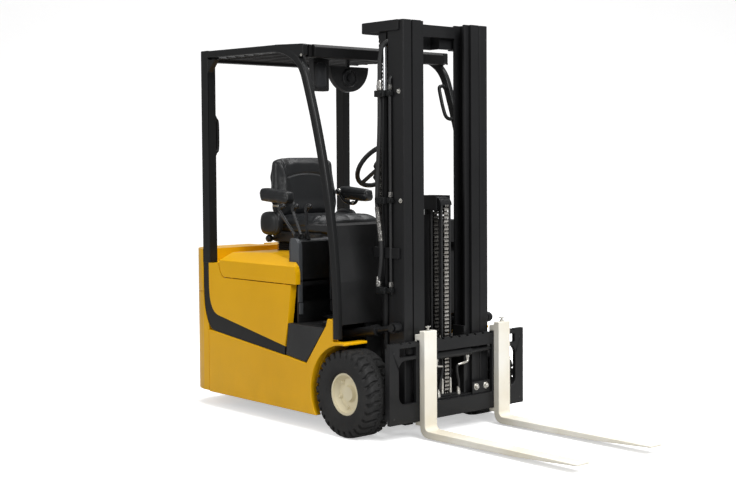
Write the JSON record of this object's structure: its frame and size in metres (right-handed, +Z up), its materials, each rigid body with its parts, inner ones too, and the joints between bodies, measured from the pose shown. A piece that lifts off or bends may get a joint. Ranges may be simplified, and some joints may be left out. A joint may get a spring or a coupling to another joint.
{
  "type": "three-wheel electric counterbalance forklift truck",
  "caption": "Three-wheel electric forklift with a telescopic mast on side lift cylinders, side-shifting fork carriage, tilt cylinders, overhead guard and a tilting seat hood over the battery.",
  "frame": {"origin": "middle of the whole truck's box, on the floor", "axes": "+X towards the fork tips, +Y to the driver's left, +Z up"},
  "size_m": [2.785, 1.08, 2.157],
  "materials": {
    "yellow_paint": "satin",
    "black_paint": "satin",
    "mast_paint": "satin",
    "tyre": "matte",
    "cream_paint": "satin",
    "fork_paint": "satin",
    "leather": "matte",
    "black_plastic": "matte",
    "grey_plastic": "matte",
    "chrome": "polished",
    "chain_steel": "oiled",
    "hose_rubber": "matte",
    "battery_case": "matte",
    "cast_iron": "matte"
  },
  "bodies": {
    "chassis": {"chassis_frame": "black_paint", "chassis_sides": "yellow_paint", "fenders": "yellow_paint", "battery_wall": "black_plastic", "counterweight": "yellow_paint", "battery": "battery_case", "side_panels": "yellow_paint", "side_bands": "black_paint", "steps": "grey_plastic", "floor_plate": "black_plastic", "front_cowl": "black_plastic", "guard_legs": "black_paint", "guard_pillars": "black_paint", "guard_rails": "black_paint", "guard_roof": "black_paint", "work_lamp": "black_plastic", "rear_mirror": "black_plastic", "grab_handles": "black_paint", "drive_axle": "cast_iron"},
    "hood": {"hood": "yellow_paint", "lever_console": "grey_plastic", "control_levers": "black_plastic", "seat_base": "black_plastic", "seat_cushion": "leather", "seat_back": "leather", "armrests": "leather"},
    "steering_wheel": {"steering_wheel": "black_plastic"},
    "wheel_right": {"tyre_right": "tyre", "rim_right": "cream_paint"},
    "wheel_left": {"tyre_left": "tyre", "rim_left": "cream_paint"},
    "steer_unit": {"steer_turret": "cast_iron"},
    "rear_wheels": {"rear_tyres": "tyre", "rear_rims": "cream_paint"},
    "tilt_barrels": {"tilt_barrels": "mast_paint"},
    "tilt_rods": {"tilt_rods": "chrome"},
    "mast_outer": {"outer_rails": "mast_paint", "outer_ties": "mast_paint", "tie_arms": "mast_paint", "mast_brackets": "mast_paint", "lift_barrels": "mast_paint", "mast_hoses": "hose_rubber", "chain_rear_runs": "chain_steel"},
    "mast_middle": {"middle_rails": "mast_paint", "middle_heads": "chain_steel", "lift_rods": "chrome"},
    "mast_inner": {"inner_rails": "mast_paint", "inner_ties": "mast_paint", "free_lift_barrel": "mast_paint", "head_rear_runs": "chain_steel", "chain_front_runs": "chain_steel"},
    "lift_head": {"free_lift_head": "mast_paint"},
    "carriage": {"carriage_frame": "mast_paint", "head_front_runs": "chain_steel", "shift_barrel": "mast_paint"},
    "shifter": {"shift_frame": "mast_paint", "shift_rod": "chrome"},
    "fork_right": {"fork_right": "fork_paint"},
    "fork_left": {"fork_left": "fork_paint"}
  },
  "joints": [
    {"name": "wheel_right_spin", "type": "hinge", "parent": "chassis", "child": "wheel_right", "pos_m": [0.0725, -0.451, 0.228], "axis": [0, 1, 0], "continuous": true},
    {"name": "wheel_left_spin", "type": "hinge", "parent": "chassis", "child": "wheel_left", "pos_m": [0.0725, 0.451, 0.228], "axis": [0, 1, 0], "continuous": true},
    {"name": "steer", "type": "hinge", "parent": "chassis", "child": "steer_unit", "pos_m": [-1.1025, 0, 0.42], "axis": [0, 0, 1], "range_deg": [-90, 90]},
    {"name": "rear_spin", "type": "hinge", "parent": "steer_unit", "child": "rear_wheels", "pos_m": [-1.1025, 0, 0.19], "axis": [0, 1, 0], "continuous": true},
    {"name": "steering_wheel_turn", "type": "hinge", "parent": "chassis", "child": "steering_wheel", "pos_m": [-0.2195, 0, 1.412], "axis": [-0.766, 0, 0.6428], "continuous": true},
    {"name": "hood_open", "type": "hinge", "parent": "chassis", "child": "hood", "pos_m": [-1.0465, 0, 0.868], "axis": [0, -1, 0], "range_deg": [0, 60]},
    {"name": "mast_tilt", "type": "hinge", "parent": "chassis", "child": "mast_outer", "pos_m": [0.1485, 0, 0.17], "axis": [0, 1, 0], "range_deg": [-5, 5]},
    {"name": "tilt_barrel_swing", "type": "hinge", "parent": "chassis", "child": "tilt_barrels", "pos_m": [-0.2575, 0, 0.48], "axis": [0, 1, 0], "range_deg": [-2.5, 2.5]},
    {"name": "tilt_rod_slide", "type": "slide", "parent": "tilt_barrels", "child": "tilt_rods", "axis": [0.9837, 0, 0.1797], "range_m": [-0.036, 0.036]},
    {"name": "mast_lift", "type": "slide", "parent": "mast_outer", "child": "mast_middle", "axis": [0, 0, 1], "range_m": [0, 1.4], "deforming": ["chain_rear_runs"]},
    {"name": "inner_lift", "type": "slide", "parent": "mast_middle", "child": "mast_inner", "axis": [0, 0, 1], "range_m": [0, 1.4], "deforming": ["chain_front_runs"]},
    {"name": "free_lift", "type": "slide", "parent": "mast_inner", "child": "lift_head", "axis": [0, 0, 1], "range_m": [0, 0.725], "deforming": ["head_rear_runs"]},
    {"name": "carriage_lift", "type": "slide", "parent": "lift_head", "child": "carriage", "axis": [0, 0, 1], "range_m": [0, 0.725], "deforming": ["head_front_runs"]},
    {"name": "side_shift", "type": "slide", "parent": "carriage", "child": "shifter", "axis": [0, 1, 0], "range_m": [-0.135, 0.055]},
    {"name": "fork_right_slide", "type": "slide", "parent": "shifter", "child": "fork_right", "axis": [0, 1, 0], "range_m": [-0.2, 0.188]},
    {"name": "fork_left_slide", "type": "slide", "parent": "shifter", "child": "fork_left", "axis": [0, 1, 0], "range_m": [-0.246, 0.142]}
  ],
  "couplings": [
    {"joint": "tilt_barrel_swing", "follows": "mast_tilt", "ratio": 0.349},
    {"joint": "tilt_rod_slide", "follows": "mast_tilt", "m_per_rad": 0.3776},
    {"joint": "inner_lift", "follows": "mast_lift", "ratio": 1},
    {"joint": "carriage_lift", "follows": "free_lift", "ratio": 1}
  ]
}
